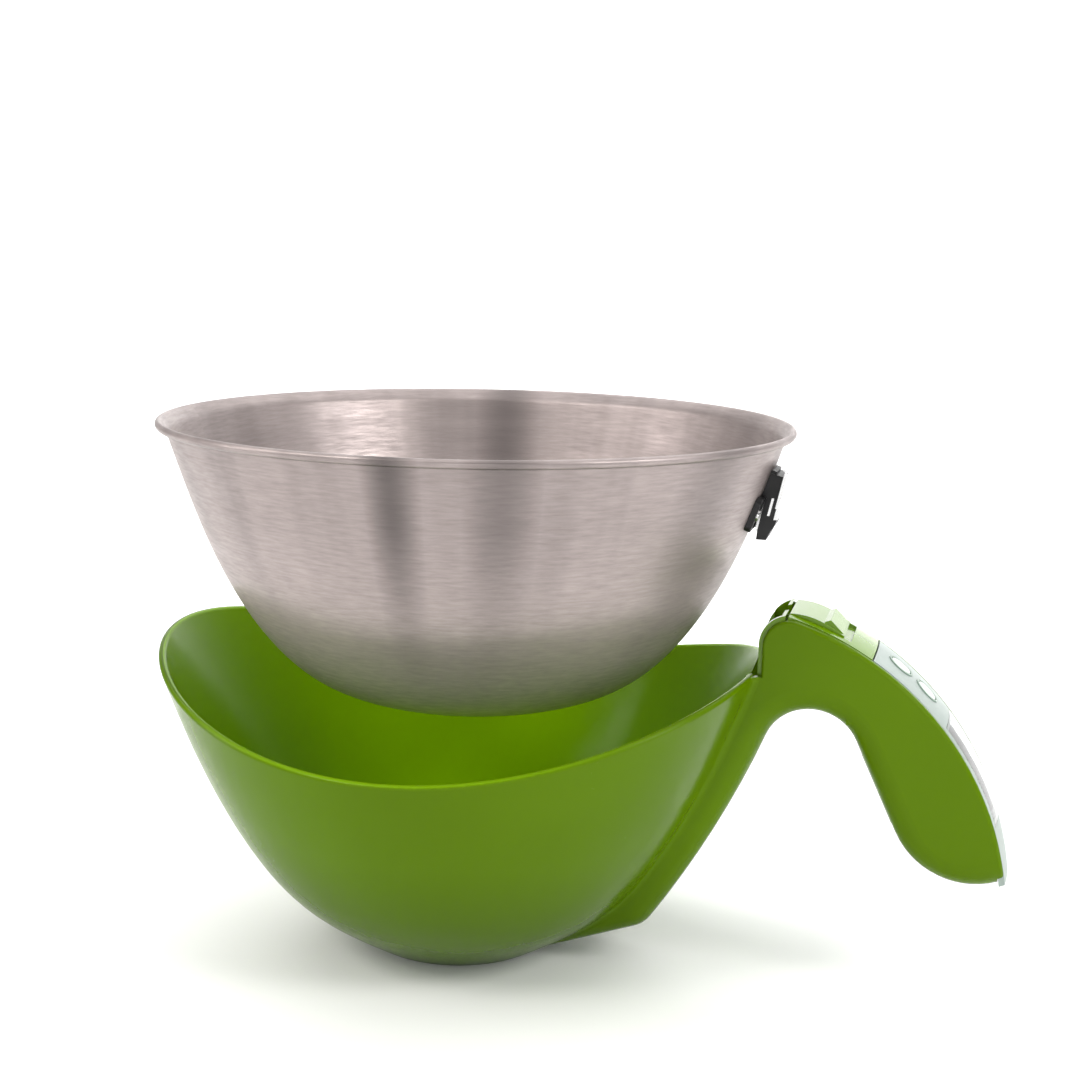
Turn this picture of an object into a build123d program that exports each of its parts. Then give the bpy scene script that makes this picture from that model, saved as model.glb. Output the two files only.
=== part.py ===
from build123d import *
import os
from math import acos, asin, atan2, cos, degrees, hypot, radians, sin

# Bowl-type kitchen scale.  Millimetres, +Z up, +X towards the handle.  The origin is the
# centre of the base pad on the table, on the axis of the green cradle.  The part is shown
# with its steel bowl lifted off the hook, LIFT above the seated place.

# ---------------------------------------------------------------- driving dimensions
# cradle: a bowl of revolution, its rim cut in a saddle that rises at the handle and the lip
CRADLE_WALL = 2.8
CRADLE_OUTLINE = [(36.0, 0.6), (51.0, 10.0), (65.0, 20.5), (81.5, 40.0), (93.3, 60.0),
                  (102.8, 80.0), (111.0, 100.6), (118.8, 122.5), (122.5, 134.0)]
RIM_LOW = 94.4            # rim height at the two sides
RIM_ARC = 273.0           # radius of the saddle cut, seen from the side
RIM_ROUND = 1.25
CREASE_R = 3.0            # between the spine's sides and the bowl
PAD_R = 31.0
PAD_H = 1.6
PAD_PROUD = 0.6

# handle: one extruded side profile of arcs, shared by the shell, its hollow and the covers
HALF_W = 19.0             # half the handle's width
SHELL = 2.5               # moulded wall
GRIP_ROUND = 9.0          # along the underside of handle and spine
HOLLOW_ROUND = 4.0        # the same edges inside, kept under the outer round
FRONT_X = 118.5           # front face, just behind the cradle's rim
CORNER_R = 9.8            # front top corner
CORNER = (128.3, 130.6)
TOP = (98.2, 33.8)        # centre of the long arc of the handle's back
TOP_R = 111.6
ARCH = (137.0, 88.8)      # centre of the finger arch
ARCH_R = 17.8
BUTT = (195.6, 76.1)      # centre of the round lower end
BUTT_R = 29.6
SPINE_HEAD = 158.0        # where the spine leaves the finger arch, degrees
SPINE_R = 380.0           # gentle curve of the spine down the cradle
SPINE_FOOT = -35.0        # where the spine turns into the chin, degrees on its own arc
CHIN_R = 12.0
KEEL_SLOPE = 20.0         # keel from the chin down to the foot
CROWN = 1.1               # rise of the covers at the middle of their width
COVER_T = 2.2
COVER_GAP = 0.3
COVER_HALF = HALF_W - SHELL - COVER_GAP
SEAM_DEG = 57.6           # joint between top cover and display panel, seen from TOP

# steel bowl, given about its own axis and bottom
BOWL_R = 120.0            # over the rolled rim
BEAD_R = 1.65
BOWL_H = 107.5
BOWL_T = 0.8
BOWL_OUTLINE = [(30.0, 0.0), (46.0, 3.4), (62.0, 10.0), (79.0, 25.0), (95.3, 50.0),
                (108.0, 80.0), (116.9, 106.0)]
BOWL_X = 4.9              # its axis hangs a little nearer the handle than the cradle's
LIFT = 57.0               # how far it is lifted above its seated place
SEAT_Z = 41.6             # height of its bottom when it is hooked in
HOOK_H = 81.0             # height of the hook's middle above the bowl's bottom

# weighing hanger in the front of the handle
HANG_X0 = 116.9           # front face of the slotted plate
HANG_T = 2.5
HANG_HALF = 16.0
SLOT_HALF = 8.2           # slot that the hook's neck drops into
SLOT_Z = 109.4
POCKET_X1 = 124.7         # back of the pocket behind the plate
WEB_T = 1.4
POCKET_HALF = 13.9

# load cell
CELL_X0 = 127.6
CELL_L = 32.0
CELL_W = 10.0
CELL_H = 6.0
CELL_Z0 = 109.6

# release slider, in a frame laid on the handle's back at SLIDER_X
SLIDER_X = 137.0
SLIDER_HALF = 12.6
SLIDER_L0 = -10.3
SLIDER_L1 = 10.8
SLIDER_TRAVEL = 2.6
SLIDER_GAP = 0.4
RIDGE_H = 3.4
RIDGE_HALF = 10.8

# display panel
LENS_DEG = (39.2, 18.6)
LENS_HALF = 13.2
BUTTON_DEG = (52.2, 45.6)
BUTTON_R = 4.3
BEZEL_R = 5.4

# battery bay in the straight stretch under the grip
DOOR_L = 28.0
DOOR_HALF = 11.5
DOOR_T = 2.1
DOOR_START = 4.0          # from the end of the finger arch
HINGE_DEPTH = 1.25
HINGE_PIN_R = 0.8
HINGE_FIT = 0.06
COIN_R = 10.0
COIN_H = 3.2


# ---------------------------------------------------------------- helpers
def on_circle(centre, radius, deg):
    return (centre[0] + radius * cos(radians(deg)), centre[1] + radius * sin(radians(deg)))


def arc(centre, radius, start, end):
    mid = (start + end) / 2
    return ThreePointArc(on_circle(centre, radius, start), on_circle(centre, radius, mid),
                         on_circle(centre, radius, end))


def upright(edges, half):
    """Closed outline in the XZ plane, extruded to both sides of the handle's middle plane."""
    return extrude(Plane.XZ * make_face(edges), half, both=True)


def turned(edges):
    """Closed outline in the XZ plane, turned about the cradle's axis."""
    return revolve(Plane.XZ * make_face(edges), Axis.Z)


def box(x0, x1, y0, y1, z0, z1):
    return Pos((x0 + x1) / 2, (y0 + y1) / 2, (z0 + z1) / 2) * Box(x1 - x0, y1 - y0, z1 - z0)


def rod(plane, radius, z0, z1):
    return plane * Pos(0, 0, (z0 + z1) / 2) * Cylinder(radius, z1 - z0)


def slab(plane, x0, x1, y0, y1, z0, z1):
    return plane * box(x0, x1, y0, y1, z0, z1)


def radial(deg, rise=0.0, y=0.0):
    """Plane on the handle's back: local z points out, local x runs down the handle."""
    x, z = on_circle(TOP, TOP_R + rise, deg)
    return Plane(origin=(x, y, z), x_dir=(sin(radians(deg)), 0, -cos(radians(deg))),
                 z_dir=(cos(radians(deg)), 0, sin(radians(deg))))


def back_band(hi, lo, half, inner, outer, crown=0.0):
    """Curved plate along the handle's back from angle hi down to lo, between two rises."""
    frame = Plane(origin=(TOP[0], 0, TOP[1]), x_dir=(cos(radians(hi)), 0, sin(radians(hi))),
                  z_dir=(-sin(radians(hi)), 0, cos(radians(hi))))
    low, high = TOP_R + inner, TOP_R + outer
    sides = Polyline((high, half), (low, half), (low, -half), (high, -half))
    if crown:
        top = ThreePointArc((high, -half), (high + crown, 0), (high, half))
    else:
        top = Line((high, -half), (high, half))
    axis = Axis((TOP[0], 0, TOP[1]), (0, 1, 0))
    return revolve(frame * make_face(sides + top), axis, hi - lo)


def moved_in(points, t):
    """The same outline moved inwards, square to itself, by t."""
    out = []
    for i, (r, z) in enumerate(points):
        r0, z0 = points[max(i - 1, 0)]
        r1, z1 = points[min(i + 1, len(points) - 1)]
        n = hypot(r1 - r0, z1 - z0)
        out.append((r - t * (z1 - z0) / n, z + t * (r1 - r0) / n))
    return out


def bowl_of(points, floor):
    """Solid of revolution under an outline, closed flat at the floor and across the top."""
    curve = Spline(*points)
    top = points[-1]
    rest = Polyline(top, (0, top[1]), (0, floor), (points[0][0], floor))
    if abs(points[0][1] - floor) > 1e-6:
        rest += Line((points[0][0], floor), points[0])
    return turned(curve + rest)


def screw(plane, radius, length, head_r, head_h):
    """Pan-head screw: local z points out of the head, origin under the head."""
    body = rod(plane, radius, -length, 0) + rod(plane, head_r, 0, head_h)
    cross = slab(plane, -head_r * 0.6, head_r * 0.6, -0.3, 0.3, head_h * 0.45, head_h + 1)
    cross += slab(plane, -0.3, 0.3, -head_r * 0.6, head_r * 0.6, head_h * 0.45, head_h + 1)
    return body - cross


# ---------------------------------------------------------------- handle geometry
SLOPE = degrees(atan2(BUTT[1] - ARCH[1], BUTT[0] - ARCH[0])) - degrees(
    asin((ARCH_R + BUTT_R) / hypot(BUTT[0] - ARCH[0], BUTT[1] - ARCH[1])))
SPINE = on_circle(on_circle(ARCH, ARCH_R, SPINE_HEAD), SPINE_R, SPINE_HEAD)
CHIN = on_circle(on_circle(SPINE, SPINE_R, SPINE_FOOT), CHIN_R, SPINE_FOOT + 180)


def crossing(t, rise):
    """Angles, seen from TOP and from BUTT, of the corner where back and lower end meet."""
    d = hypot(BUTT[0] - TOP[0], BUTT[1] - TOP[1])
    back, butt = TOP_R + rise, BUTT_R - t
    along = degrees(atan2(BUTT[1] - TOP[1], BUTT[0] - TOP[0]))
    from_top = along - degrees(acos((back ** 2 + d ** 2 - butt ** 2) / (2 * back * d)))
    corner = on_circle(TOP, back, from_top)
    from_butt = degrees(atan2(corner[1] - BUTT[1], corner[0] - BUTT[0]))
    return from_top, from_butt


def underside(t, rise, keel_x):
    """Profile from the handle's lower corner, round the grip and arch and down the spine."""
    top_deg, butt_deg = crossing(t, rise)
    butt = arc(BUTT, BUTT_R - t, butt_deg, SLOPE - 90)
    line = Line(butt @ 1, on_circle(ARCH, ARCH_R + t, SLOPE + 90))
    arch = arc(ARCH, ARCH_R + t, SLOPE + 90, SPINE_HEAD)
    spine = arc(SPINE, SPINE_R - t, SPINE_HEAD - 180, SPINE_FOOT)
    chin = arc(CHIN, CHIN_R - t, SPINE_FOOT, KEEL_SLOPE - 90)
    end = chin @ 1
    keel = Line(end, (keel_x, end.Y - (end.X - keel_x) * sin(radians(KEEL_SLOPE))
                      / cos(radians(KEEL_SLOPE))))
    return butt + line + arch + spine + chin + keel, top_deg, keel @ 1


def lower_edges(body, low, half):
    """The body's edges that follow the underside profile along its two sides."""
    rounds = [e @ 0.5 for e in low.edges()]

    def follows(edge):
        m = edge @ 0.5
        return abs(abs(m.Y) - half) < 1e-3 and any(
            hypot(m.X - q.X, m.Z - q.Y) < 0.05 for q in rounds)

    return [e for e in body.edges() if follows(e)]


def handle_block():
    """Solid handle and spine, reaching into the cradle's wall."""
    low, top_deg, keel_end = underside(0, 0, 40.0)
    corner_deg = degrees(atan2(CORNER[1] - TOP[1], CORNER[0] - TOP[0]))
    front = Line((FRONT_X, 119.0), (FRONT_X, CORNER[1]))
    corner = ThreePointArc(front @ 1, on_circle(CORNER, CORNER_R, 135),
                           on_circle(CORNER, CORNER_R, corner_deg))
    back = ThreePointArc(corner @ 1, on_circle(TOP, TOP_R, (corner_deg + top_deg) / 2),
                         on_circle(TOP, TOP_R, top_deg))
    inner = Polyline((keel_end.X, keel_end.Y), (40.0, 10.0), (100.0, 90.0), (105.0, 119.0),
                     (FRONT_X, 119.0))
    block = upright(back + corner + front + low + inner, HALF_W)
    return block


def handle_hollow():
    """Room inside the handle and spine, open along the whole back for the covers."""
    low, top_deg, keel_end = underside(SHELL, 4.0, 69.0)
    start = on_circle(TOP, TOP_R + 4.0, 78.0)
    back = ThreePointArc(start, on_circle(TOP, TOP_R + 4.0, (78 + top_deg) / 2),
                         on_circle(TOP, TOP_R + 4.0, top_deg))
    inner = Polyline((keel_end.X, keel_end.Y), (60.0, 45.0), (100.0, 104.6), (108.0, 104.6),
                     (108.0, 124.0), (110.0, 146.0), start)
    room = upright(back + low + inner, HALF_W - SHELL)
    return fillet(lower_edges(room, low, HALF_W - SHELL), HOLLOW_ROUND)


def softened_block():
    """Handle block with a round underside and a small radius along its back and front."""
    block = handle_block()
    block = fillet(lower_edges(block, underside(0, 0, 40.0)[0], HALF_W), GRIP_ROUND)

    def above(edge):
        m = edge @ 0.5
        on_back = abs(hypot(m.X - TOP[0], m.Z - TOP[1]) - TOP_R) < 0.1
        return abs(abs(m.Y) - HALF_W) < 1e-3 and (on_back or m.Z > 119.5)

    return fillet([e for e in block.edges() if above(e)], 1.2)


# frames used by several pieces
SLIDER_DEG = degrees(acos((SLIDER_X - TOP[0]) / TOP_R))
SLIDER = radial(SLIDER_DEG)
DISPLAY_DEG = sum(LENS_DEG) / 2
DISPLAY = radial(DISPLAY_DEG)
KEY_DEG = sum(BUTTON_DEG) / 2
KEYS = radial(KEY_DEG)
GRIP_START = on_circle(ARCH, ARCH_R, SLOPE + 90)
GRIP = Plane(origin=(GRIP_START[0], 0, GRIP_START[1]),
             x_dir=(cos(radians(SLOPE)), 0, sin(radians(SLOPE))),
             z_dir=(sin(radians(SLOPE)), 0, -cos(radians(SLOPE))))
BOWL_Z = SEAT_Z + LIFT
COVER_SCREW = radial(54.9)
HINGE_X = DOOR_START + 1.7


# ---------------------------------------------------------------- scale body
def rimmed_bowl(cavity):
    """Hollow cradle with its saddle-shaped rim rounded over."""
    saddle = Pos(0, 0, RIM_LOW + RIM_ARC) * Rot(90, 0, 0) * Cylinder(RIM_ARC, 400)
    bowl = bowl_of(CRADLE_OUTLINE, CRADLE_OUTLINE[0][1]) - saddle - cavity

    def on_saddle(edge):
        p = edge @ 0.37
        return abs(hypot(p.X, p.Z - RIM_LOW - RIM_ARC) - RIM_ARC) < 0.05

    return fillet([e for e in bowl.edges() if on_saddle(e)], RIM_ROUND)


def joined_spine(bowl, block):
    """Cradle and handle in one, with a small radius where the spine's sides meet the bowl."""
    both = bowl + block

    def in_crease(edge):
        m = edge @ 0.5
        return edge.length > 20 and 40 < m.X < 100 and 15 < abs(m.Y) < HALF_W + 0.1 and m.Z < 100

    creases = [e for e in both.edges().filter_by(GeomType.BSPLINE) if in_crease(e)]
    return fillet(creases, CREASE_R)


def cradle_shell():
    """Green cradle, spine and handle shell in one moulding."""
    inner_half = HALF_W - SHELL
    cavity_outline = moved_in(CRADLE_OUTLINE[:-1], CRADLE_WALL)
    cavity = bowl_of(cavity_outline, cavity_outline[0][1])
    window = box(104.0, 124.0, -inner_half, inner_half, 104.6, 150.0)
    hollow = handle_hollow() - bowl_of(CRADLE_OUTLINE, CRADLE_OUTLINE[0][1]) + window
    shell = joined_spine(rimmed_bowl(cavity), softened_block() - cavity) - hollow
    shell -= back_band(25.0, 2.0, inner_half, -COVER_T - 0.3, 6.0)
    shell += Pos(0, 0, 2.6) * Cylinder(36.5, 3.2)
    shell -= Pos(0, 0, 0.5) * Cylinder(PAD_R + 0.1, 2 * (PAD_H - PAD_PROUD) + 0.2)
    # bridge that carries the fixed end of the load cell
    cell_end = CELL_X0 + CELL_L
    shell += box(cell_end - 10.0, cell_end, -inner_half - 0.5, inner_half + 0.5, 103.6, CELL_Z0)
    for x in (cell_end - 7.6, cell_end - 2.6):
        shell -= Pos(x, 0, CELL_Z0) * Cylinder(1.25, 11.0)
    # bosses under the screw tongues of the top cover
    for side in (1, -1):
        boss = slab(COVER_SCREW, -3.2, 3.4, 9.9, 17.0, -14.0, -5.8)
        hole = rod(COVER_SCREW * Pos(0, 13.0, 0), 1.0, -13.0, -5.0)
        piece = boss - hole
        shell += piece if side > 0 else mirror(piece, Plane.XZ)
    # battery door opening with its hinge sockets
    shell -= slab(GRIP, DOOR_START, HINGE_X + DOOR_L, -DOOR_HALF - 0.3, DOOR_HALF + 0.3, -4.0, 4.0)
    axle = GRIP * Pos(HINGE_X, 0, -HINGE_DEPTH) * Rot(90, 0, 0)
    shell -= axle * Cylinder(HINGE_PIN_R + HINGE_FIT, 2 * (DOOR_HALF + 1.1))
    return shell


def base_pad():
    """Soft non-slip disc set into the foot."""
    pad = Pos(0, 0, PAD_H / 2) * Cylinder(PAD_R, PAD_H)
    return chamfer(pad.edges().group_by(Axis.Z)[0], 0.3)


def cover_blank(hi, lo):
    return back_band(hi, lo, COVER_HALF, -COVER_T, 0.0, CROWN)


def top_cover():
    """Green cover behind the hook pocket, forked round the release slider."""
    cover = cover_blank(74.9, SEAM_DEG + 0.15)
    open_end = SLIDER_L1 + SLIDER_TRAVEL + SLIDER_GAP
    slot = SLIDER_HALF + SLIDER_GAP
    cover -= slab(SLIDER, -30.0, open_end, -slot, slot, -6.0, 6.0)
    for side in (1, -1):
        rail = slab(SLIDER, -9.0, open_end + 1, 15.0, COVER_HALF, -5.4, -1.4)
        rail += slab(SLIDER, -9.0, open_end + 1, slot - 0.1, COVER_HALF, -5.4, -3.8)
        tongue = slab(COVER_SCREW, -7.6, 3.4, 10.4, 15.9, -5.8, -4.0)
        tongue += slab(COVER_SCREW, -7.6, -5.8, 10.4, 15.9, -5.8, -1.2)
        tongue -= rod(COVER_SCREW * Pos(0, 13.0, 0), 1.35, -7.0, -3.0)
        piece = rail + tongue
        cover += piece if side > 0 else mirror(piece, Plane.XZ)
    cover += slab(SLIDER, 8.0, open_end + 3, -COVER_HALF + 0.5, COVER_HALF - 0.5, -5.4, -3.8)
    cover += slab(SLIDER, SLIDER_L1 - 0.3, open_end + 2, -slot - 0.1, slot + 0.1, -5.4, -1.5)
    cover += slab(SLIDER, open_end - 2.0, open_end + 2, -3.4, 3.4, -10.6, -5.2)
    return cover


def cover_screws():
    plane = COVER_SCREW * Pos(0, 0, -4.0)
    return [screw(plane * Pos(0, y, 0), 1.0, 7.0, 2.2, 1.3) for y in (13.0, -13.0)]


def display_panel():
    """Silver panel with the lens opening and the two button holes, wrapped over the end."""
    panel = cover_blank(SEAM_DEG - 0.15, 20.0)
    butt = Pos(BUTT[0], 0, BUTT[1]) * Rot(90, 0, 0) * Cylinder(BUTT_R + 0.3, 60)
    panel += cover_blank(20.0, 3.0) & butt
    hi, lo = LENS_DEG
    panel -= back_band(hi + 0.08, lo - 0.08, LENS_HALF + 0.15, -1.5, 4.0)
    panel -= back_band(hi - 0.8, lo + 0.8, LENS_HALF - 1.0, -6.0, 0.0)
    for deg in BUTTON_DEG:
        panel -= rod(radial(deg), BEZEL_R + 0.02, -6.0, 6.0)
    # feet for the two boards and the side clips
    for x, y in ((22.5, 9.5), (22.5, -9.5)):
        panel += rod(DISPLAY * Pos(x, y, 0), 2.4, -8.2, -2.6) - rod(
            DISPLAY * Pos(x, y, 0), 0.9, -9.0, -3.5)
    for x in (-8.8, 9.6):
        for y in (-7.6, 7.6):
            panel += rod(KEYS * Pos(x, y, 0), 1.2, -7.5, -2.0)
    for deg in (41.5, 16.5):
        for side in (1, -1):
            clip = slab(radial(deg), -2.5, 2.5, COVER_HALF - 1.4, COVER_HALF, -6.0, -1.0)
            panel += clip if side > 0 else mirror(clip, Plane.XZ)
    return panel


def lens():
    """Clear display window, flush with the crowned panel."""
    edge = CROWN * (1 - (LENS_HALF / COVER_HALF) ** 2)
    return back_band(*LENS_DEG, LENS_HALF, -1.5, edge, CROWN - edge)


def button_bezels():
    rings = []
    for deg in BUTTON_DEG:
        ring = rod(radial(deg), BEZEL_R, -COVER_T, CROWN + 0.25)
        rings.append(ring - rod(radial(deg), BUTTON_R + 0.32, -5.0, 5.0))
    return rings


def button(deg):
    """Press button: round cap, retaining flange and the stem that meets the switch."""
    plane = radial(deg)
    cap = rod(plane, BUTTON_R, -3.4, CROWN + 0.35)
    cap = fillet(cap.edges().sort_by(Axis(plane.origin, plane.z_dir))[-1], 0.5)
    return cap + rod(plane, 5.9, -3.5, -2.7) + rod(plane, 1.5, -4.3, -3.3)


def key_board():
    return slab(KEYS, -10.0, 10.8, -9.5, 9.5, -8.7, -7.5)


def key_switches():
    """Two tact switches under the buttons."""
    out = []
    for x in (-6.05, 6.05):
        body = slab(KEYS, x - 3.0, x + 3.0, -3.0, 3.0, -7.5, -6.0)
        out.append(body + rod(KEYS * Pos(x, 0, 0), 1.6, -6.1, -5.5))
    return out


def lcd_glass():
    glass = slab(DISPLAY, -18.0, 18.0, -12.0, 12.0, -5.8, -4.5)
    return glass + slab(DISPLAY, -18.0, 16.0, -12.0, 12.0, -7.1, -5.8)


def zebra_strips():
    return [slab(DISPLAY, -16.0, 14.0, y - 0.9, y + 0.9, -8.2, -7.1) for y in (-10.8, 10.8)]


def main_board():
    board = slab(DISPLAY, -20.0, 26.0, -14.0, 14.0, -9.8, -8.2)
    for y in (-9.5, 9.5):
        board -= rod(DISPLAY * Pos(22.5, y, 0), 1.15, -12.0, -6.0)
    return board


def board_chips():
    """Potted chip and the few soldered parts on the back of the main board."""
    blob = rod(DISPLAY * Pos(2.0, 0, 0), 5.0, -11.4, -9.8)
    blob = chamfer(blob.edges().sort_by(Axis(DISPLAY.origin, DISPLAY.z_dir))[0], 1.0)
    spots = [(-9.0, 6.0, 3.0, 1.6), (-9.0, 2.0, 2.0, 1.2), (11.0, -7.0, 4.4, 3.0),
             (12.0, 5.5, 2.0, 1.2), (-3.0, -9.0, 3.2, 1.6)]
    return [blob] + [slab(DISPLAY, x, x + a, y, y + b, -10.9, -9.8) for x, y, a, b in spots]


def board_screws():
    turned_over = DISPLAY * Pos(0, 0, -9.8) * Rot(180, 0, 0)
    return [screw(turned_over * Pos(22.5, y, 0), 0.9, 4.8, 1.9, 1.1) for y in (-9.5, 9.5)]


# ---------------------------------------------------------------- weighing gear
def load_cell():
    """Aluminium bending beam with its two joined holes and tapped ends."""
    x0, x1 = CELL_X0, CELL_X0 + CELL_L
    mid, zc = (x0 + x1) / 2, CELL_Z0 + CELL_H / 2
    cell = box(x0, x1, -CELL_W / 2, CELL_W / 2, CELL_Z0, CELL_Z0 + CELL_H)
    for dx in (-3.4, 3.4):
        cell -= Pos(mid + dx, 0, zc) * Rot(90, 0, 0) * Cylinder(2.2, CELL_W + 2)
    cell -= box(mid - 3.4, mid + 3.4, -CELL_W, CELL_W, zc - 0.8, zc + 0.8)
    for x in (x0 + 2.8, x0 + 7.8):
        cell -= Pos(x, 0, zc) * Cylinder(1.25, CELL_H + 2)
    for x in (x1 - 7.6, x1 - 2.6):
        cell -= Pos(x, 0, zc) * Cylinder(1.6, CELL_H + 2)
    return cell


def strain_gauges():
    mid = CELL_X0 + CELL_L / 2
    out = []
    for dx in (-3.4, 3.4):
        for z in (CELL_Z0 - 0.15, CELL_Z0 + CELL_H):
            out.append(box(mid + dx - 2.2, mid + dx + 2.2, -2.0, 2.0, z, z + 0.15))
    return out


def cell_screws():
    """Two screws through the hanger into the free end, two through the fixed end."""
    x0, x1, top = CELL_X0, CELL_X0 + CELL_L, CELL_Z0 + CELL_H
    free = [screw(Plane((x, 0, top + 3.0)), 1.25, 8.5, 2.3, 1.6) for x in (x0 + 2.8, x0 + 7.8)]
    fixed = [screw(Plane((x, 0, top)), 1.25, 11.0, 2.3, 1.6) for x in (x1 - 7.6, x1 - 2.6)]
    return free + fixed


def hanger():
    """Slotted plate and pocket that take the bowl's hook, carried by the load cell."""
    x1, x2, floor = HANG_X0 + HANG_T, POCKET_X1 + WEB_T, SLOT_Z - 2.4
    lift = CORNER_R + (FRONT_X - HANG_X0)
    front = Line((HANG_X0, 105.2), (CORNER[0] - lift, CORNER[1]))
    lean = arc(CORNER, lift, 180, degrees(acos((x2 - CORNER[0]) / lift)))
    rest = Polyline(lean @ 1, (x2, floor), (x1, floor), (x1, 105.2), (HANG_X0, 105.2))
    body = upright(front + lean + rest, HANG_HALF)
    under = [e for e in body.edges().filter_by(Axis.X) if abs((e @ 0.5).Z - floor) < 0.01]
    body = chamfer(under, 2.0)
    body -= box(x1, POCKET_X1, -POCKET_HALF, POCKET_HALF, SLOT_Z, 145.0)
    body -= box(HANG_X0 - 2, x1 + 0.01, -SLOT_HALF, SLOT_HALF, SLOT_Z, 145.0)
    body -= box(POCKET_X1 - 1, x2 + 1, -4.9, 4.9, 133.6, 145.0)
    # arm over the load cell with its stiffening rib
    top = CELL_Z0 + CELL_H
    body += box(POCKET_X1 + 1, CELL_X0 + 10.4, -5.0, 5.0, top, top + 3.0)
    rib = Polyline((POCKET_X1 + 1, top + 2), (CELL_X0 + 10.4, top + 2), (POCKET_X1 + 1, top + 11),
                   (POCKET_X1 + 1, top + 2))
    for side in (1, -1):
        piece = Pos(0, side * 4.2, 0) * upright(rib, 0.8)
        body += piece
    for x in (CELL_X0 + 2.8, CELL_X0 + 7.8):
        body -= Pos(x, 0, top + 1.5) * Cylinder(1.6, 5.0)
    return body


def wire(points, bends, radius, y):
    route = FilletPolyline(*[(x, y, z) for x, z in points], radius=bends)
    start = route @ 0
    along = route % 0
    return sweep(Plane(origin=start, z_dir=along) * Circle(radius), path=route)


def cell_leads():
    """Four thin leads from the load cell to the main board."""
    end = DISPLAY.from_local_coords(Vector(-17.5, 0, -9.9))
    route = [(144.0, 112.6), (160.5, 112.6), (166.5, 107.5), (170.0, 99.5), (end.X - 3.6, 95.6),
             (end.X, end.Z)]
    return [wire(route, 2.6, 0.4, 5.6 + 1.1 * i) for i in range(4)]


def battery_leads():
    """Two leads from the cell holder to the main board."""
    start = GRIP.from_local_coords(Vector(11.0, 0, -9.2))
    end = DISPLAY.from_local_coords(Vector(-7.0, 0, -9.9))
    route = [(start.X, start.Z), (start.X + 4.0, start.Z + 2.4), (end.X - 7.0, start.Z + 1.0),
             (end.X - 2.2, end.Z - 1.6), (end.X, end.Z)]
    return [wire(route, 1.5, 0.45, y) for y in (-1.2, 1.2)]


# ---------------------------------------------------------------- battery bay
COIN_X = HINGE_X + 1.6 + 2.0 + COIN_R


def cell_holder():
    """Black tray that holds the coin cell behind the door."""
    tray = slab(GRIP, DOOR_START - 0.4, HINGE_X + DOOR_L + 0.6, -13.6, 13.6, -8.6, -3.0)
    tray -= rod(GRIP * Pos(COIN_X, 0, 0), COIN_R + 0.25, -6.6, 0.0)
    tray -= slab(GRIP, COIN_X - 3.0, COIN_X + 12.0, -4.0, 4.0, -6.6, 0.0)
    tray -= slab(GRIP, COIN_X - 9.0, COIN_X + 7.0, -1.6, 1.6, -7.6, -6.0)
    return tray


def coin_cell():
    body = rod(GRIP * Pos(COIN_X, 0, 0), COIN_R, -6.2, -6.2 + COIN_H)
    return chamfer(body.edges(), 0.35)


def cell_contacts():
    """Spring strip under the cell and the strip that bears on its rim."""
    under = slab(GRIP, COIN_X - 8.6, COIN_X + 6.6, -1.4, 1.4, -7.5, -7.2)
    under += slab(GRIP, COIN_X - 1.2, COIN_X + 1.2, -1.4, 1.4, -7.3, -6.2)
    rim = slab(GRIP, COIN_X + COIN_R, COIN_X + COIN_R + 0.3, -3.0, 3.0, -6.5, -3.4)
    rim += slab(GRIP, COIN_X + COIN_R, COIN_X + COIN_R + 1.8, -3.0, 3.0, -6.6, -6.3)
    return [under, rim]


def battery_door():
    """Door that swings on two pins moulded into its upper end."""
    end = HINGE_X + DOOR_L - 0.4
    door = slab(GRIP, HINGE_X, end, -DOOR_HALF, DOOR_HALF, -DOOR_T - 0.2, 0.0)
    knuckle = GRIP * Pos(HINGE_X, 0, -HINGE_DEPTH) * Rot(90, 0, 0)
    door += knuckle * Cylinder(HINGE_DEPTH, 2 * DOOR_HALF)
    door += knuckle * Cylinder(HINGE_PIN_R, 2 * (DOOR_HALF + 0.9))
    for i in range(4):
        x = end - 3.0 - 1.8 * i
        door -= slab(GRIP, x - 0.4, x + 0.4, -6.0, 6.0, -0.5, 1.0)
    return door


# ---------------------------------------------------------------- release slider
def release_slider():
    """Thumb slider with its raised ridge, side flanges, spring keel and latch bolt."""
    along = Plane(origin=SLIDER.origin, x_dir=SLIDER.x_dir, z_dir=(0, -1, 0))
    front, rear = SLIDER_L0, SLIDER_L1
    pad = Spline((front, 0.1), (-7.0, 1.2), (-2.6, 1.95), (2.2, 1.9))
    under = Polyline(pad @ 1, (rear, 0.5), (rear, -1.2), (7.6, -1.2), (7.6, -COVER_T - 0.4),
                     (front, -COVER_T - 0.4), (front, 0.1))
    body = extrude(along * make_face(pad + under), SLIDER_HALF, both=True)
    ridge = Polyline((2.2, 1.0), (2.2, 1.9), (3.9, RIDGE_H), (4.3, RIDGE_H), (9.9, 0.85), (9.9, 0.0),
                     (2.2, 1.0))
    body += extrude(along * make_face(ridge), RIDGE_HALF, both=True)
    body += slab(SLIDER, -9.6, 7.6, -12.2, 12.2, -3.4, -1.8)
    body += slab(SLIDER, -9.6, 7.6, -14.5, 14.5, -3.4, -2.7)
    body += slab(SLIDER, -4.0, 3.0, -3.0, 3.0, -10.6, -3.2)
    bolt = Polyline((-11.0, -4.3), (-9.8, -7.6), (-3.5, -7.6), (-3.5, -3.2), (-7.0, -3.2),
                    (-7.6, -4.3), (-11.0, -4.3))
    return body + extrude(along * make_face(bolt), 4.3, both=True)


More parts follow.
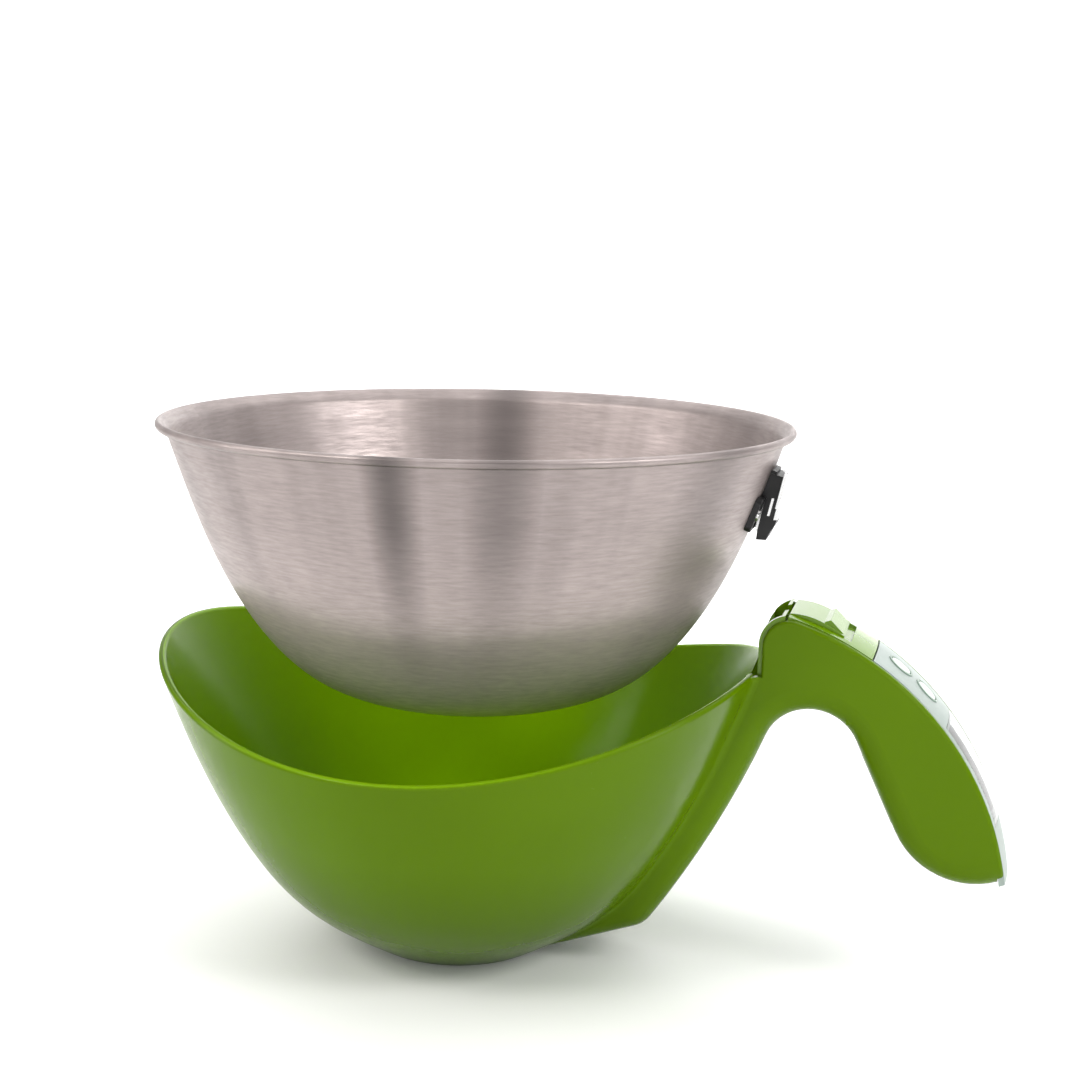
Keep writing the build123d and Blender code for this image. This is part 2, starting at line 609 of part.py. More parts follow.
def latch_spring():
    """Compression spring between the slider's keel and the cover."""
    length = SLIDER_L1 + SLIDER_TRAVEL + SLIDER_GAP - 2.0 - 3.0
    wire_r, coil_r, turns = 0.25, 1.9, 6.0
    path = Helix(pitch=(length - 2 * wire_r) / turns, height=length - 2 * wire_r, radius=coil_r)
    start = path @ 0
    coil = sweep(Plane(origin=start, z_dir=path % 0) * Circle(wire_r), path=path, is_frenet=True)
    return SLIDER * Pos(3.0 + wire_r, 0, -8.2) * Rot(0, 90, 0) * coil


# ---------------------------------------------------------------- steel bowl and its hook
BOWL = Pos(BOWL_X, 0, BOWL_Z)
HOOK_WALL_R = 108.4
HOOK_TILT = 19.8
HOOK = Plane(origin=(BOWL_X + HOOK_WALL_R, 0, BOWL_Z + HOOK_H),
             x_dir=(sin(radians(HOOK_TILT)), 0, cos(radians(HOOK_TILT))),
             z_dir=(cos(radians(HOOK_TILT)), 0, -sin(radians(HOOK_TILT))))
RIVETS = [(-2.0, 11.6), (-2.0, -11.6)]
MID_Z = BOWL_Z + HOOK_H
LEAF_TOP = MID_Z + 3.4
LEAVES = [((115.0, LEAF_TOP), (112.5, MID_Z - 9.0)), ((118.3, LEAF_TOP), (116.8, MID_Z - 3.2))]
LEAF_T = 0.9
LEAF_HALF = 7.2


def bowl_solid(t):
    outline = moved_in(BOWL_OUTLINE, t) if t else BOWL_OUTLINE
    return bowl_of(outline, outline[0][1])


def steel_bowl():
    """Spun bowl with a flat bottom and a rolled rim."""
    bead_z = BOWL_H - BEAD_R
    bowl = bowl_solid(0) - bowl_solid(BOWL_T) - Pos(0, 0, bead_z + 5) * Cylinder(140, 10)
    rim = revolve(Plane.XZ * Pos(BOWL_R - BEAD_R, bead_z) * Circle(BEAD_R), Axis.Z)
    bowl = BOWL * (bowl + rim)
    for u, w in RIVETS:
        bowl -= rod(HOOK * Pos(u, w, 0), 1.6, -8.0, 3.0)
    return bowl


def back_face(z, extra=0.0):
    """Point on the inner face of the hook plate, or so far outside it, at height z."""
    return (120.9 + (z - LEAF_TOP) * 1.7 / 7.8 + extra, z)


def bowl_bracket():
    """Black hook moulding on the bowl: strap, two wings, top block, core and lower block."""
    strap = slab(HOOK, -8.0, 14.5, -7.4, 7.4, -5.0, 1.7)
    wings = slab(HOOK, -8.8, 4.6, -15.6, 15.6, -5.0, 1.3)
    wings = fillet(wings.edges().filter_by(Axis(HOOK.origin, HOOK.z_dir)), 2.5)
    top = Polyline((113.0, LEAF_TOP), back_face(LEAF_TOP), back_face(MID_Z + 11.2),
                   (116.0, MID_Z + 13.0), (113.0, LEAF_TOP))
    core = Polyline((112.0, LEAF_TOP + 0.1), back_face(LEAF_TOP + 0.1), back_face(MID_Z - 4.6),
                    back_face(MID_Z - 4.6, 1.2), (119.5, MID_Z - 7.2), (118.3, MID_Z - 8.8),
                    (116.7, MID_Z - 12.3), (113.0, MID_Z - 12.3), (113.4, MID_Z - 8.2),
                    (110.4, MID_Z - 6.6), (112.0, LEAF_TOP + 0.1))
    moulding = strap + wings + upright(top, 7.6) + upright(core, 6.4)
    moulding -= BOWL * bowl_solid(-0.08)
    for leaf in hook_springs():
        moulding -= leaf
    for u, w in RIVETS:
        moulding -= rod(HOOK * Pos(u, w, 0), 1.6, -8.0, 6.0)
    return moulding


def hook_plate():
    """Steel hook that slips behind the hanger's slotted plate."""
    def strip(low, high, half):
        outline = Polyline(back_face(low), back_face(low, 1.3), back_face(high, 1.3),
                           back_face(high), back_face(low))
        return upright(outline, half)

    high = MID_Z + 13.2
    plate = strip(MID_Z - 4.6, MID_Z + 2.4, 7.0) + strip(MID_Z + 0.4, high, 12.6)
    lip = Polyline(back_face(high, 1.3), back_face(high), (122.0, high + 1.0),
                   (122.4, high + 1.7), back_face(high, 1.3))
    return plate + upright(lip, 10.0)


def hook_springs():
    """Two steel leaves let into the core of the moulding."""
    leaves = []
    for high, low in LEAVES:
        outline = Polyline(low, high, (high[0] + LEAF_T, high[1]), (low[0] + LEAF_T, low[1]), low)
        leaves.append(upright(outline, LEAF_HALF))
    return leaves


def bracket_rivets():
    rivets = []
    for u, w in RIVETS:
        plane = HOOK * Pos(u, w, 0)
        sag = w * w / (2 * HOOK_WALL_R) + u * u / 500
        rivets.append(rod(plane, 1.5, -sag - 2.2, 1.8) + rod(plane, 2.3, 1.3, 2.1)
                      + rod(plane, 2.6, -sag - 2.4, -sag - 1.4))
    return rivets


# ---------------------------------------------------------------- export
PARTS = {
    "cradle_shell": cradle_shell,
    "base_pad": base_pad,
    "top_cover": top_cover,
    "cover_screws": cover_screws,
    "display_panel": display_panel,
    "display_lens": lens,
    "button_bezels": button_bezels,
    "tare_button": lambda: button(BUTTON_DEG[0]),
    "unit_button": lambda: button(BUTTON_DEG[1]),
    "key_board": key_board,
    "key_switches": key_switches,
    "lcd_glass": lcd_glass,
    "zebra_strips": zebra_strips,
    "main_board": main_board,
    "board_chips": board_chips,
    "board_screws": board_screws,
    "load_cell": load_cell,
    "strain_gauges": strain_gauges,
    "load_cell_screws": cell_screws,
    "bowl_hanger": hanger,
    "load_cell_leads": cell_leads,
    "battery_leads": battery_leads,
    "cell_holder": cell_holder,
    "coin_cell": coin_cell,
    "cell_contacts": cell_contacts,
    "battery_door": battery_door,
    "release_slider": release_slider,
    "latch_spring": latch_spring,
    "steel_bowl": steel_bowl,
    "bowl_bracket": bowl_bracket,
    "hook_plate": hook_plate,
    "hook_springs": hook_springs,
    "bracket_rivets": bracket_rivets,
}


def main():
    os.makedirs("parts", exist_ok=True)
    for name, make in PARTS.items():
        made = make()
        shape = Compound(children=made) if isinstance(made, list) else made
        export_step(shape, f"parts/{name}.step")
        print(name, round(shape.volume, 1))


main()
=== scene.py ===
"""Kitchen scale: materials, detail pieces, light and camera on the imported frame."""
import bmesh
import bpy
import numpy as np
from math import atan2, cos, hypot, pi, sin
from mathutils import Matrix, Vector


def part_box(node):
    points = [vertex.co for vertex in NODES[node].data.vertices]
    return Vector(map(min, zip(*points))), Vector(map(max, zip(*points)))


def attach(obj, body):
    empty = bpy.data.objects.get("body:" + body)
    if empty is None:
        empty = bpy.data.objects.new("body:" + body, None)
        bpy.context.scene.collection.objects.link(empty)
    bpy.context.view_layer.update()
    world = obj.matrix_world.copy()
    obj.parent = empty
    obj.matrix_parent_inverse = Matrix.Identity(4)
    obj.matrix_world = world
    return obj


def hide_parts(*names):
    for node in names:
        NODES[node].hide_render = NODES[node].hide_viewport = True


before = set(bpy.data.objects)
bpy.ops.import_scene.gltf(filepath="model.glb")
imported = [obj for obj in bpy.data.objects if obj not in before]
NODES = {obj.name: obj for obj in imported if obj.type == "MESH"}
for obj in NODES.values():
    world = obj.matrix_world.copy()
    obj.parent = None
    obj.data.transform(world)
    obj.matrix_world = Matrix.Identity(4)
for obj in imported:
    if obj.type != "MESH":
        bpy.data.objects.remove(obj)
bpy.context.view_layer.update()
MM = 0.001

# ---------------------------------------------------------------- places taken from the frame
STEEL_LOW, STEEL_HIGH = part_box("steel_bowl")
STEEL_AXIS = (STEEL_LOW + STEEL_HIGH) / 2


# ---------------------------------------------------------------- shader helpers
class Shader:
    """One material with its Principled shader and short calls for the nodes it uses."""

    def __init__(self, name, **sockets):
        self.material = bpy.data.materials.new(name)
        self.material.use_nodes = True
        self.tree = self.material.node_tree
        self.bsdf = self.tree.nodes["Principled BSDF"]
        for socket, value in sockets.items():
            self.bsdf.inputs[socket.replace("_", " ")].default_value = value
        self.place = self.node("ShaderNodeTexCoord").outputs["Object"]

    def node(self, kind, **settings):
        made = self.tree.nodes.new(kind)
        for name, value in settings.items():
            setattr(made, name, value)
        return made

    def feed(self, socket, value):
        if isinstance(value, bpy.types.NodeSocket):
            self.tree.links.new(value, socket)
        else:
            socket.default_value = value

    def math(self, operation, a, b=0.0):
        made = self.node("ShaderNodeMath", operation=operation)
        self.feed(made.inputs[0], a)
        self.feed(made.inputs[1], b)
        return made.outputs[0]

    def noise(self, scale, detail=3.0, roughness=0.55, at=None, stretch=None):
        where = at or self.place
        if stretch:
            mapping = self.node("ShaderNodeMapping")
            mapping.inputs["Scale"].default_value = stretch
            self.feed(mapping.inputs["Vector"], where)
            where = mapping.outputs[0]
        made = self.node("ShaderNodeTexNoise")
        self.feed(made.inputs["Vector"], where)
        made.inputs["Scale"].default_value = scale
        made.inputs["Detail"].default_value = detail
        made.inputs["Roughness"].default_value = roughness
        return made.outputs["Fac"]

    def spread(self, value, low, high, from_low=0.3, from_high=0.7, kind="LINEAR"):
        made = self.node("ShaderNodeMapRange", interpolation_type=kind)
        self.feed(made.inputs["Value"], value)
        made.inputs["From Min"].default_value = from_low
        made.inputs["From Max"].default_value = from_high
        made.inputs["To Min"].default_value = low
        made.inputs["To Max"].default_value = high
        return made.outputs["Result"]

    def blend(self, factor, a, b):
        made = self.node("ShaderNodeMix", data_type="RGBA")
        self.feed(made.inputs[0], factor)
        self.feed(made.inputs[6], a)
        self.feed(made.inputs[7], b)
        return made.outputs[2]

    def edges(self, low=0.5, high=0.6):
        """0 on flat faces and 1 on sharp outer edges: rubbed wear on matte parts, a painted
        highlight on glossy plastic, brighter edges on metal.
        """
        sharp = self.node("ShaderNodeNewGeometry").outputs["Pointiness"]
        return self.spread(sharp, 0.0, 1.0, low, high)

    def set(self, socket, value):
        self.feed(self.bsdf.inputs[socket], value)

    def bump(self, height, distance, strength=1.0):
        made = self.node("ShaderNodeBump")
        made.inputs["Strength"].default_value = strength
        made.inputs["Distance"].default_value = distance
        self.feed(made.inputs["Height"], height)
        self.feed(self.bsdf.inputs["Normal"], made.outputs["Normal"])


def rgb(red, green, blue):
    """Linear colour from the usual 0 to 255 values."""
    def linear(v):
        v /= 255
        return v / 12.92 if v <= 0.04045 else ((v + 0.055) / 1.055) ** 2.4
    return (linear(red), linear(green), linear(blue), 1.0)


# ---------------------------------------------------------------- materials
def cradle_painted_light_and_shade(s, tone, inside, bottom_shade):
    """Painted light on the faces that look in to the cradle's axis and on the upward faces low
    inside it; painted shade darkening it towards the bottom.
    """
    place = s.node("ShaderNodeSeparateXYZ")
    s.feed(place.inputs[0], s.place)
    x, y, z = place.outputs
    facing = s.node("ShaderNodeSeparateXYZ")
    s.feed(facing.inputs[0], s.node("ShaderNodeNewGeometry").outputs["Normal"])
    radius = s.math("SQRT", s.math("ADD", s.math("MULTIPLY", x, x), s.math("MULTIPLY", y, y)))
    outwards = s.math("ADD", s.math("MULTIPLY", x, facing.outputs[0]),
                      s.math("MULTIPLY", y, facing.outputs[1]))
    slope = s.math("DIVIDE", outwards, s.math("MAXIMUM", radius, 0.001))
    looks_in = s.spread(slope, 1.0, 0.0, -0.35, -0.1)
    looks_up = s.spread(facing.outputs[2], 0.0, 1.0, 0.3, 0.7)
    near = s.spread(radius, 1.0, 0.0, 0.1175, 0.1185)
    low = s.spread(z, 1.0, 0.0, 0.08, 0.11)
    # painted light: the faces inside the cradle take the brighter inside colour
    painted_light_mask = s.math("MULTIPLY", near, s.math("MAXIMUM", looks_in, s.math("MULTIPLY", looks_up, low)))
    # painted shade: blended up to 60 % towards a darker colour over the lowest 6 cm
    tone = s.blend(s.math("MULTIPLY", s.spread(z, 1.0, 0.0, 0.0, 0.06), 0.6), tone, bottom_shade)
    return s.blend(painted_light_mask, tone, inside)


def moulded_plastic(name, colour, deeper, roughness, peel, inside=None, **sockets):
    """Glossy moulded plastic: faint flow marks, orange peel, outer edges paled as a painted
    highlight.
    """
    s = Shader(name, **sockets)
    tone = s.blend(s.spread(s.noise(9, 2), 0.0, 1.0), colour, deeper)
    if inside:
        # painted light: the brighter colour inside the cradle; painted shade: 0.45 of the deeper
        # colour towards the bottom
        tone = cradle_painted_light_and_shade(s, tone, inside, tuple(c * 0.45 for c in deeper[:3]) + (1.0,))
    pale = tuple(min(1.0, c * 1.3 + 0.01) for c in colour[:3]) + (1.0,)
    # painted highlight: outer edges blended towards the paler colour
    s.set("Base Color", s.blend(s.math("MULTIPLY", s.edges(0.6, 0.75), 0.35), tone, pale))
    smudge = s.spread(s.noise(22, 4, 0.6), roughness * 0.8, roughness * 1.25)
    grit = s.spread(s.noise(900, 2), -0.02, 0.03)
    s.set("Roughness", s.math("ADD", smudge, grit))
    s.bump(s.noise(420, 2, 0.5), peel)
    return s.material


# painted dark reflections in bands on the brushed steel: angle and half width in radians, depth 0
# to 1
BANDS = [(-1.533, 0.15, 0.9), (-1.21, 0.24, 0.76), (-0.5, 0.34, 0.6), (-2.42, 0.24, 0.42),
         (0.6, 0.3, 0.45), (1.74, 0.24, 0.75), (2.6, 0.3, 0.45)]


def brushed_steel(name, axis, top, tint, roughness, line=900.0):
    """Steel brushed in rings about a vertical axis, with painted dark reflections in vertical
    strokes below the rim, softly stained.
    """
    s = Shader(name, Metallic=0.6, Anisotropic=0.6)
    split = s.node("ShaderNodeSeparateXYZ")
    s.feed(split.inputs[0], s.place)
    x = s.math("SUBTRACT", split.outputs[0], axis.x)
    y = s.math("SUBTRACT", split.outputs[1], axis.y)
    around = s.math("ARCTAN2", y, x)
    ring = s.node("ShaderNodeCombineXYZ")
    s.feed(ring.inputs[0], s.math("MULTIPLY", around, 0.012))
    s.feed(ring.inputs[1], split.outputs[2])
    rings = s.noise(line, 5, 0.65, at=ring.outputs[0])
    coarse = s.noise(line * 0.16, 3, 0.6, at=ring.outputs[0])
    drawn = s.node("ShaderNodeCombineXYZ")
    s.feed(drawn.inputs[0], s.math("MULTIPLY", around, 3.2))
    s.feed(drawn.inputs[1], s.math("MULTIPLY", split.outputs[2], 2.0))
    # painted dark reflections: soft noise strokes around the axis and the listed bands
    painted_reflection = s.spread(s.noise(1.0, 3, 0.6, at=drawn.outputs[0]), 0.5, 0.3, 0.36, 0.56)
    for angle, width, depth in BANDS:
        away = s.math("ABSOLUTE", s.math("SUBTRACT", around, angle))
        painted_reflection = s.math("MAXIMUM", painted_reflection, s.spread(away, depth, 0.0, 0.0, width, "SMOOTHSTEP"))
    below_rim = s.spread(split.outputs[2], 0.0, 1.0, top - 0.085, top - 0.025)
    dark = tuple(c * 0.14 for c in tint[:3]) + (1.0,)
    stains = s.noise(16, 3, 0.5, stretch=(1, 1, 0.5))
    tone = s.blend(s.spread(stains, 0.0, 1.0), tint, tuple(c * 0.9 for c in tint[:3]) + (1.0,))
    # painted dark reflections, blended in on the wall just below the rim
    tone = s.blend(s.math("MULTIPLY", s.math("MULTIPLY", painted_reflection, below_rim), 0.95), tone, dark)
    s.set("Base Color", s.blend(s.spread(rings, 0.0, 0.3), tone, dark))
    base = s.spread(coarse, roughness * 0.85, roughness * 1.15)
    s.set("Roughness", s.math("ADD", base, s.spread(rings, -0.05, 0.07)))
    s.bump(rings, 0.00003, 0.6)
    tangent = s.node("ShaderNodeTangent", direction_type="RADIAL", axis="Z")
    s.feed(s.bsdf.inputs["Tangent"], tangent.outputs[0])
    return s.material


def plain_metal(name, colour, roughness, scratch=(40, 40, 600)):
    """Small metal parts: fine drawn lines, dulled patches, brighter edges."""
    s = Shader(name, Metallic=1.0)
    lines = s.noise(1, 3, 0.6, stretch=scratch)
    dull = s.spread(s.noise(120, 3), 0.0, 1.0)
    tone = s.blend(dull, colour, tuple(c * 0.8 for c in colour[:3]) + (1.0,))
    bright = tuple(min(1.0, c * 1.2) for c in colour[:3]) + (1.0,)
    s.set("Base Color", s.blend(s.edges(), tone, bright))
    s.set("Roughness", s.spread(lines, roughness * 0.8, roughness * 1.3))
    s.bump(lines, 0.00002)
    return s.material


def matte_grain(name, colour, roughness, grain, scale=700, **sockets):
    """Matte mouldings and rubber: fine spark-eroded grain and slightly rubbed edges."""
    s = Shader(name, **sockets)
    pale = tuple(c * 1.6 + 0.01 for c in colour[:3]) + (1.0,)
    tone = s.blend(s.spread(s.noise(60, 3), 0.0, 0.5), colour, pale)
    s.set("Base Color", s.blend(s.math("MULTIPLY", s.edges(), 0.5), tone, pale))
    s.set("Roughness", s.spread(s.noise(90, 2), roughness * 0.85, roughness * 1.1))
    s.bump(s.noise(scale, 3, 0.6), grain)
    return s.material


def circuit_board(name):
    """Green solder mask over faint copper tracks."""
    s = Shader(name, Roughness=0.35)
    brick = s.node("ShaderNodeTexBrick")
    s.feed(brick.inputs["Vector"], s.place)
    brick.inputs["Scale"].default_value = 260
    brick.inputs["Mortar Size"].default_value = 0.03
    brick.inputs["Color1"].default_value = rgb(20, 88, 44)
    brick.inputs["Color2"].default_value = rgb(16, 76, 38)
    brick.inputs["Mortar"].default_value = rgb(60, 130, 62)
    s.set("Base Color", brick.outputs["Color"])
    s.set("Roughness", s.spread(s.noise(200, 2), 0.28, 0.45))
    s.bump(brick.outputs["Fac"], 0.00002)
    return s.material


def clear_window(name):
    """Clear hard-coated window, a little smoky, with faint wiping marks."""
    s = Shader(name, IOR=1.49)
    s.bsdf.inputs["Transmission Weight"].default_value = 1.0
    s.set("Base Color", s.blend(s.spread(s.noise(30, 2), 0.0, 1.0),
                                (0.86, 0.90, 0.88, 1), (0.80, 0.85, 0.83, 1)))
    s.set("Roughness", s.spread(s.noise(70, 4, 0.6), 0.02, 0.07))
    s.bump(s.noise(160, 2), 0.00001)
    return s.material


def liquid_crystal(name):
    """Grey-green reflective display, blank, with a fine pixel weave."""
    s = Shader(name, Metallic=0.15)
    wave = s.node("ShaderNodeTexWave", wave_type="BANDS", bands_direction="Y")
    s.feed(wave.inputs["Vector"], s.place)
    wave.inputs["Scale"].default_value = 900
    tone = s.blend(s.spread(s.noise(25, 2), 0.0, 1.0), rgb(150, 165, 150), rgb(132, 148, 136))
    s.set("Base Color", s.blend(s.math("MULTIPLY", wave.outputs["Fac"], 0.12), tone,
                                rgb(100, 112, 104)))
    s.set("Roughness", s.spread(s.noise(150, 2), 0.22, 0.34))
    s.bump(wave.outputs["Fac"], 0.000004)
    return s.material


# the inside colour is painted light, brighter than the outside green
GREEN = moulded_plastic("green_abs", rgb(84, 115, 1), rgb(79, 108, 1), 0.2, 0.00001,
                        inside=rgb(126, 171, 3), Specular_IOR_Level=0.08)
GREEN_FINE = moulded_plastic("green_abs_covers", rgb(100, 137, 2), rgb(94, 130, 2), 0.14,
                             0.00001, Specular_IOR_Level=0.4)
SILVER = moulded_plastic("silver_panel", rgb(152, 164, 158), rgb(139, 152, 145), 0.34, 0.00001,
                         Metallic=0.3)
STEEL = brushed_steel("brushed_bowl", STEEL_AXIS, STEEL_HIGH.z, rgb(190, 177, 174), 0.38)
SMALL_STEEL = plain_metal("small_steel", rgb(200, 200, 200), 0.25)
NICKEL = plain_metal("nickel", rgb(205, 203, 196), 0.2)
ALUMINIUM = plain_metal("milled_aluminium", rgb(212, 214, 218), 0.34, (700, 30, 30))
BLACK = matte_grain("black_moulding", rgb(9, 9, 10), 0.42, 0.00003, Specular_IOR_Level=0.3)
RUBBER = matte_grain("soft_pad", rgb(38, 38, 38), 0.85, 0.00006)
CHIP = matte_grain("chip_resin", rgb(24, 24, 25), 0.55, 0.00003, 1400)
ELASTOMER = matte_grain("zebra_rubber", rgb(150, 96, 96), 0.7, 0.00003, 1500)
GAUGE = matte_grain("gauge_film", rgb(196, 132, 62), 0.4, 0.00001, 1800)
RED_WIRE = matte_grain("red_wire", rgb(168, 28, 24), 0.45, 0.00001)
WHITE_WIRE = matte_grain("white_wire", rgb(214, 214, 208), 0.45, 0.00001)
RING = moulded_plastic("button_ring", rgb(118, 140, 124), rgb(106, 128, 114), 0.25, 0.00001)
CAP = moulded_plastic("button_cap", rgb(196, 208, 198), rgb(184, 198, 190), 0.28, 0.00001)
BOARD = circuit_board("solder_mask")
WINDOW = clear_window("display_window")
LCD = liquid_crystal("liquid_crystal")

FINISHES = {
    "cradle_shell": GREEN, "base_pad": RUBBER, "top_cover": GREEN_FINE,
    "cover_screws": SMALL_STEEL, "display_panel": SILVER, "display_lens": WINDOW,
    "button_bezels": RING, "tare_button": CAP, "unit_button": CAP, "key_board": BOARD,
    "key_switches": CHIP, "lcd_glass": LCD, "zebra_strips": ELASTOMER, "main_board": BOARD,
    "board_chips": CHIP, "board_screws": SMALL_STEEL, "load_cell": ALUMINIUM,
    "strain_gauges": GAUGE, "load_cell_screws": SMALL_STEEL, "bowl_hanger": GREEN_FINE,
    "load_cell_leads": WHITE_WIRE, "battery_leads": RED_WIRE, "cell_holder": BLACK,
    "coin_cell": NICKEL, "cell_contacts": NICKEL, "battery_door": GREEN_FINE,
    "release_slider": GREEN_FINE, "latch_spring": SMALL_STEEL, "steel_bowl": STEEL,
    "bowl_bracket": BLACK, "hook_plate": SMALL_STEEL, "hook_springs": SMALL_STEEL,
    "bracket_rivets": SMALL_STEEL,
}


def dress(node, material):
    """Gives a CAD node its material, and lets its broad faces rule the shading."""
    piece = NODES[node]
    piece.data.materials.clear()
    piece.data.materials.append(material)
    even = piece.modifiers.new("even_shading", "WEIGHTED_NORMAL")
    even.weight = 90
    even.keep_sharp = True


for node_name, finish in FINISHES.items():
    dress(node_name, finish)


# ---------------------------------------------------------------- steel bowl
BOWL_WALL = [(30.0, 0.0), (46.0, 3.4), (62.0, 10.0), (79.0, 25.0), (95.3, 50.0), (108.0, 80.0),
             (116.9, 106.0)]
SHEET = 0.8
BEAD, BEAD_R = (118.35, 105.85), 1.65
ROLL_END = 2.42 * pi      # where the rolled rim turns back in to the wall
WALL_STEPS, ROLL_STEPS, TURN_STEPS = 72, 26, 9
FLAT_R = 15.0             # ring inside the flat bottom, for even faces


def smooth_curve(points, steps):
    """Points and unit normals along a natural cubic spline through the given points."""
    points = np.array(points)
    knots = np.concatenate([[0], np.cumsum(np.linalg.norm(np.diff(points, axis=0), axis=1))])
    gaps = np.diff(knots)
    matrix, right = np.eye(len(points)), np.zeros_like(points)
    for i in range(1, len(points) - 1):
        matrix[i, i - 1:i + 2] = gaps[i - 1], 2 * (gaps[i - 1] + gaps[i]), gaps[i]
        right[i] = 6 * ((points[i + 1] - points[i]) / gaps[i]
                        - (points[i] - points[i - 1]) / gaps[i - 1])
    bend = np.linalg.solve(matrix, right)
    curve = []
    for s in np.linspace(0, knots[-1], steps):
        i = min(int(np.searchsorted(knots, s, side="right")) - 1, len(gaps) - 1)
        a, b = (knots[i + 1] - s) / gaps[i], (s - knots[i]) / gaps[i]
        curve.append(a * points[i] + b * points[i + 1] + (
            (a ** 3 - a) * bend[i] + (b ** 3 - b) * bend[i + 1]) * gaps[i] ** 2 / 6)
    curve = np.array(curve)
    along = np.gradient(curve, axis=0)
    along /= np.linalg.norm(along, axis=1)[:, None]
    return curve, np.stack([-along[:, 1], along[:, 0]], axis=1)


def bowl_section():
    """Section of the spun bowl: up the outside, round the rolled rim and down the inside."""
    curve, inward = smooth_curve(BOWL_WALL, WALL_STEPS)
    outside = [tuple(p) for p in curve if hypot(p[0] - BEAD[0], p[1] - BEAD[1]) > BEAD_R]
    start = atan2(outside[-1][1] - BEAD[1], outside[-1][0] - BEAD[0]) % (2 * pi)
    roll = [start + (ROLL_END - start) * i / ROLL_STEPS for i in range(1, ROLL_STEPS + 1)]
    rim = [(BEAD[0] + BEAD_R * cos(a), BEAD[1] + BEAD_R * sin(a)) for a in roll]
    inside = [tuple(p) for p in (curve + SHEET * inward)[::-1] if p[1] < BEAD[1] - 1.6]
    crest, wall, tip = rim[-1], inside[0], inside[1]
    slope = (wall[0] - tip[0]) / (wall[1] - tip[1])
    pull = (wall[0] + slope * 1.9, wall[1] + 1.9)
    turn = []
    for i in range(1, TURN_STEPS):
        t = i / TURN_STEPS
        turn.append(tuple((1 - t) ** 2 * c + 2 * t * (1 - t) * p + t * t * w
                          for c, p, w in zip(crest, pull, wall)))
    bottom, floor = [(0.0, 0.0), (FLAT_R, 0.0)], [(FLAT_R, SHEET), (0.0, SHEET)]
    return bottom + outside + rim + turn + inside + floor, len(outside) + 1


def spun_bowl(name, section, crease, around, middle, low):
    """Turns the section about the vertical axis through the middle, its bottom at low."""
    mesh = bmesh.new()
    rings = []
    for r, z in section:
        turns = around if r > 0 else 1
        rings.append([mesh.verts.new((middle.x + MM * r * cos(2 * pi * k / around),
                                      middle.y + MM * r * sin(2 * pi * k / around),
                                      low + MM * z)) for k in range(turns)])
    for a, b in zip(rings, rings[1:]):
        for k in range(around):
            corners = [a[k % len(a)], a[(k + 1) % len(a)], b[(k + 1) % len(b)], b[k % len(b)]]
            mesh.faces.new(list(dict.fromkeys(corners)))
    bmesh.ops.recalc_face_normals(mesh, faces=mesh.faces)
    for face in mesh.faces:
        face.smooth = True
    for k in range(around):
        edge = mesh.edges.get((rings[crease][k], rings[crease][(k + 1) % around]))
        edge.smooth = False
    data = bpy.data.meshes.new(name)
    mesh.to_mesh(data)
    mesh.free()
    bowl = bpy.data.objects.new(name, data)
    bpy.context.scene.collection.objects.link(bowl)
    return bowl


def steel_bowl():
    section, crease = bowl_section()
    bowl = spun_bowl("spun_steel_bowl", section, crease, 256, STEEL_AXIS, STEEL_LOW.z)
    bowl.data.materials.append(STEEL)
    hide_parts("steel_bowl")
    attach(bowl, "steel_bowl_set")


steel_bowl()


# ---------------------------------------------------------------- stage
def sweep_floor(name, half_width, near, far, bend, height):
    """Pale floor that curves up into a backdrop."""
    profile = [(-near, 0.0), (far - bend, 0.0)]
    steps = 16
    for i in range(1, steps + 1):
        a = i / steps * pi / 2
        profile.append((far - bend + bend * sin(a), bend - bend * cos(a)))
    profile.append((far, height))
    mesh = bmesh.new()
    rows = [[mesh.verts.new((x, y, z)) for y, z in profile] for x in (-half_width, half_width)]
    for i in range(len(profile) - 1):
        mesh.faces.new((rows[0][i], rows[0][i + 1], rows[1][i + 1], rows[1][i]))
    for face in mesh.faces:
        face.smooth = True
    mesh.normal_update()
    data = bpy.data.meshes.new(name)
    mesh.to_mesh(data)
    mesh.free()
    floor = bpy.data.objects.new(name, data)
    bpy.context.scene.collection.objects.link(floor)
    s = Shader("pale_floor", Roughness=0.9, Specular_IOR_Level=0.1)
    s.set("Base Color", s.blend(s.noise(3.0, 2), (0.93, 0.93, 0.93, 1), (0.95, 0.95, 0.95, 1)))
    s.bump(s.noise(700, 2), 0.00001)
    data.materials.append(s.material)


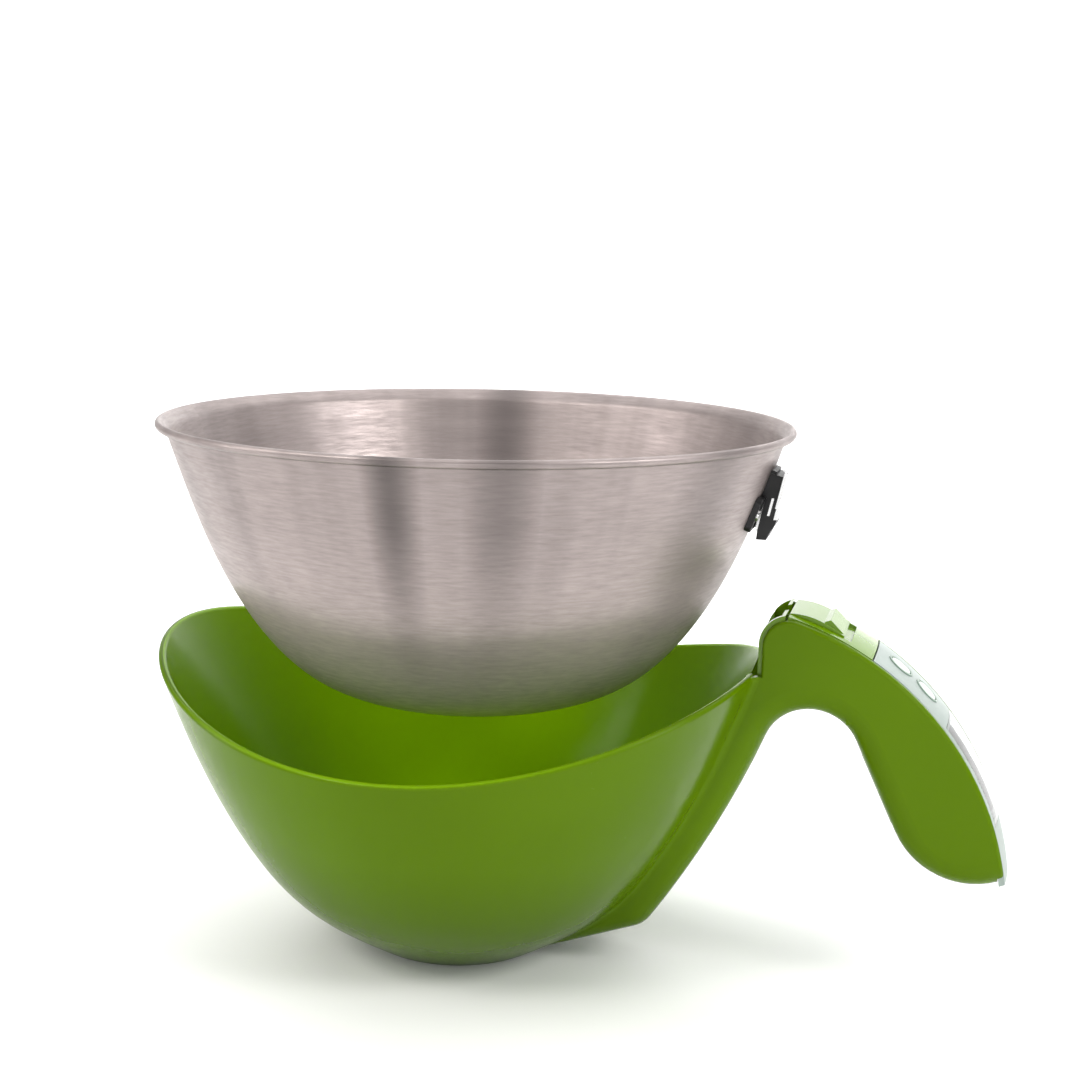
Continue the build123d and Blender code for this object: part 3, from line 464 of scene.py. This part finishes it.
def softbox(name, place, aim, size, power, colour=(1.0, 1.0, 1.0)):
    data = bpy.data.lights.new(name, "AREA")
    data.shape = "RECTANGLE"
    data.size, data.size_y = size
    data.energy = power
    data.color = colour
    lamp = bpy.data.objects.new(name, data)
    bpy.context.scene.collection.objects.link(lamp)
    lamp.location = place
    lamp.rotation_euler = (Vector(aim) - Vector(place)).to_track_quat("-Z", "Y").to_euler()


def studio():
    sweep_floor("studio_floor", 5.0, 4.0, 3.0, 1.0, 3.5)
    centre = (0.03, 0.0, 0.1)
    softbox("overhead", (0.0, 0.1, 1.8), centre, (2.8, 2.4), 30)
    softbox("key_left", (-1.5, -0.5, 0.8), centre, (0.5, 1.3), 11, (1.0, 0.97, 0.95))
    softbox("fill_right", (1.6, -0.3, 0.8), centre, (0.4, 1.2), 9, (0.97, 0.98, 1.0))
    softbox("front_low", (0.3, -2.0, 0.48), centre, (2.2, 0.5), 11)
    softbox("front_left", (-0.85, -1.15, 1.35), centre, (0.4, 0.55), 9, (1.0, 0.97, 0.94))
    softbox("front_right", (1.5, -0.6, 1.3), centre, (0.4, 0.55), 10, (1.0, 0.98, 0.95))
    softbox("backdrop_wash", (0.0, 1.2, 2.2), (0.0, 3.0, 0.8), (4.0, 1.0), 110)
    world = bpy.data.worlds.new("studio")
    bpy.context.scene.world = world
    world.use_nodes = True
    sky = world.node_tree.nodes["Background"]
    sky.inputs["Color"].default_value = (1.0, 1.0, 1.0, 1.0)
    sky.inputs["Strength"].default_value = 0.28


# ---------------------------------------------------------------- camera
def camera():
    """Level with the bowls, a little to the handle's side, from about two thirds of a metre."""
    data = bpy.data.cameras.new("camera")
    data.sensor_width = 36.0
    data.lens = 58.598
    data.clip_start = 0.01
    eye = bpy.data.objects.new("camera", data)
    right = Vector((0.96819283, 0.24936851, 0.02044488))
    up = Vector((-0.06374205, 0.16681479, 0.9839257))
    back = Vector((0.24194958, -0.953933, 0.17740414))
    turn = Matrix((right, up, back)).transposed()
    eye.matrix_world = Matrix.Translation((0.192013, -0.638077, 0.279359)) @ turn.to_4x4()
    bpy.context.scene.collection.objects.link(eye)
    bpy.context.scene.camera = eye


studio()
camera()
bpy.context.scene.view_settings.view_transform = "Standard"
